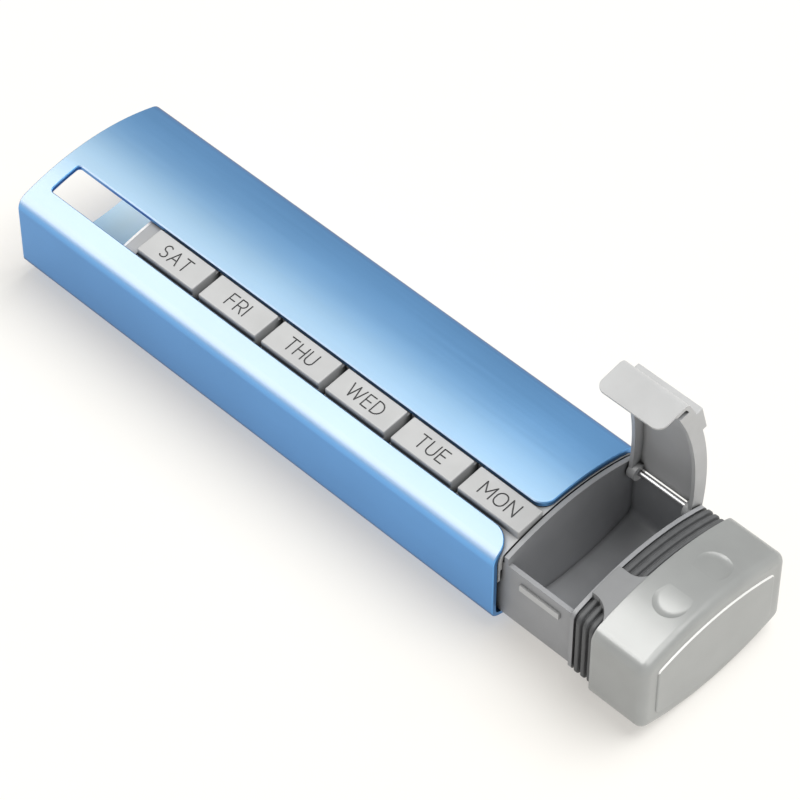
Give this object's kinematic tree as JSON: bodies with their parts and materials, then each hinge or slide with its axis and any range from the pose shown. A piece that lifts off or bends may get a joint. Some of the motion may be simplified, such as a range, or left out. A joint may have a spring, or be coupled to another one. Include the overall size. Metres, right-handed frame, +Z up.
{
  "type": "travel pill organizer",
  "caption": "Weekly pill organizer: an anodised metal sleeve with a top slot, and a sliding tray whose row of compartments each has a hinged, day-marked lid.",
  "frame": {"origin": "middle of the flat along the sleeve's underside, halfway along the sleeve", "axes": "+X along the sleeve towards its open mouth and the tray's end cap, +Y towards the lids' hinge side, +Z up"},
  "size_m": [0.2323, 0.0536, 0.0725],
  "materials": {
    "sleeve_aluminium": "satin blue anodised",
    "tray_plastic": "light grey moulded plastic",
    "lid_plastic": "light grey moulded plastic with a fine texture",
    "ring_rubber": "dark grey soft rubber",
    "core_plastic": "grey moulded plastic",
    "cap_frosted": "frosted translucent",
    "pin_steel": "ground steel",
    "pad_white": "white soft foam"
  },
  "bodies": {
    "sleeve": {"sleeve": "sleeve_aluminium"},
    "tray": {"tray": "tray_plastic", "friction_ring": "ring_rubber", "cap_core": "core_plastic", "end_cap": "cap_frosted", "tail_pad": "pad_white", "lid_mon": "lid_plastic", "lid_tue": "lid_plastic", "lid_wed": "lid_plastic", "lid_thu": "lid_plastic", "lid_fri": "lid_plastic", "lid_sat": "lid_plastic", "hinge_pin_sun": "pin_steel", "hinge_pin_mon": "pin_steel", "hinge_pin_tue": "pin_steel", "hinge_pin_wed": "pin_steel", "hinge_pin_thu": "pin_steel", "hinge_pin_fri": "pin_steel", "hinge_pin_sat": "pin_steel"},
    "lid_sun": {"lid_sun": "lid_plastic"}
  },
  "joints": [
    {"name": "tray_slide", "type": "slide", "parent": "sleeve", "child": "tray", "axis": [1, 0, 0], "range_m": [0, 0.14]},
    {"name": "lid_sun_hinge", "type": "hinge", "parent": "tray", "child": "lid_sun", "pos_m": [0.1037, 0.02255, 0.02549], "axis": [-1, 0, 0], "range_deg": [-80, 20]}
  ]
}
